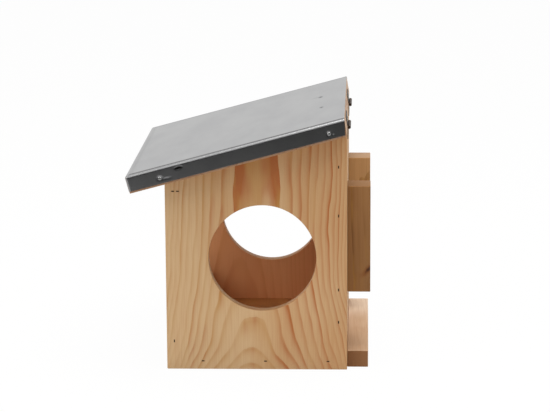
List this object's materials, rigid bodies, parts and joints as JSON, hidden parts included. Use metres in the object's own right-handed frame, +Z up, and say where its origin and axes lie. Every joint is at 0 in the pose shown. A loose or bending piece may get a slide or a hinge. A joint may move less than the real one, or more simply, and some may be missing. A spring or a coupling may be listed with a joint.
{
  "type": "squirrel feeder box",
  "caption": "Pine squirrel feeder box with round entrance holes in its sides, a clear front pane, wall battens and a hinged, metal-covered sloping lid.",
  "frame": {"origin": "centre of the box's underside, midway between the side walls and between the front and back of the side walls, at z = 0", "axes": "+X towards the battens at the back, +Y across the box to its left-hand side seen from the front, +Z up"},
  "size_m": [0.2398, 0.2832, 0.2578],
  "materials": {
    "pine_board": "planed softwood, unfinished",
    "pine_batten": "planed softwood, a little darker",
    "lid_board": "planed softwood, unfinished",
    "sheet_metal": "mill finish, semi-matt",
    "clear_pane": "clear acrylic sheet",
    "brad_wire": "bare steel, dulled",
    "flange_nail": "bright steel",
    "hinge_steel": "dark bronzed steel",
    "hinge_pin": "bare steel",
    "hinge_screw": "bright steel"
  },
  "bodies": {
    "box": {"floor_board": "pine_board", "front_lower_board": "pine_board", "front_top_rail": "pine_board", "back_wall": "pine_board", "side_wall_right": "pine_board", "side_wall_left": "pine_board", "upright_batten_right": "pine_batten", "upright_batten_left": "pine_batten", "cross_batten": "pine_batten", "back_wall_brads": "brad_wire", "floor_brads": "brad_wire", "front_brads": "brad_wire", "batten_brads": "brad_wire", "front_pane": "clear_pane", "hinge_right_box_leaf": "hinge_steel", "hinge_right_pin": "hinge_pin", "hinge_left_box_leaf": "hinge_steel", "hinge_left_pin": "hinge_pin", "box_leaf_screws": "hinge_screw"},
    "lid": {"roof_board": "lid_board", "roof_sheet": "sheet_metal", "flange_nails": "flange_nail", "hinge_right_lid_leaf": "hinge_steel", "hinge_left_lid_leaf": "hinge_steel", "lid_leaf_screws": "hinge_screw"}
  },
  "joints": [
    {"name": "lid_hinge", "type": "hinge", "parent": "box", "child": "lid", "pos_m": [0.0918, 0, 0.24038], "axis": [0, 1, 0], "range_deg": [0, 105]}
  ]
}
